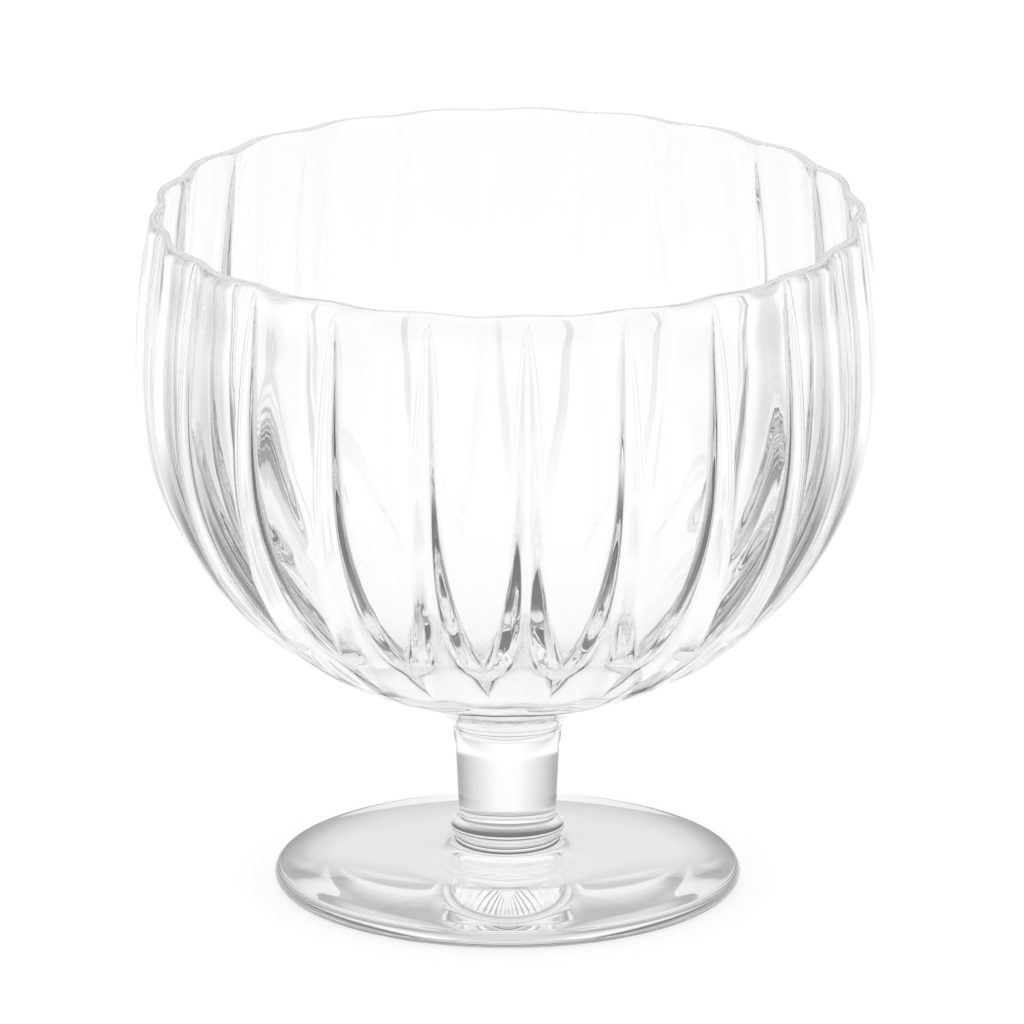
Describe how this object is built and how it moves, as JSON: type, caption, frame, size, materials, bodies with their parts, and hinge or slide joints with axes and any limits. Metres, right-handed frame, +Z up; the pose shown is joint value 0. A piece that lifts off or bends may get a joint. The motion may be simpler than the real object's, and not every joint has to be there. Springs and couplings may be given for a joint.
{
  "type": "footed bowl",
  "caption": "Clear glass footed bowl: a round bowl with vertical flutes and a wavy lip, on a short solid stem with a rolled collar and a disc foot.",
  "frame": {"origin": "on the table, below the centre of the foot", "axes": "+Z up along the axis of the bowl, stem and foot; one groove of the bowl faces -Y, the side in the picture"},
  "size_m": [0.12, 0.1188, 0.1129],
  "materials": {
    "bowl_glass": "clear soda-lime glass, mould-blown and fire-polished",
    "stem_glass": "clear soda-lime glass, drawn and fire-polished",
    "collar_glass": "clear soda-lime glass, tooled hot",
    "foot_glass": "clear soda-lime glass, cast and fire-polished"
  },
  "bodies": {
    "root": {"fluted_bowl": "bowl_glass", "stem": "stem_glass", "stem_collar": "collar_glass", "foot": "foot_glass"}
  },
  "joints": []
}
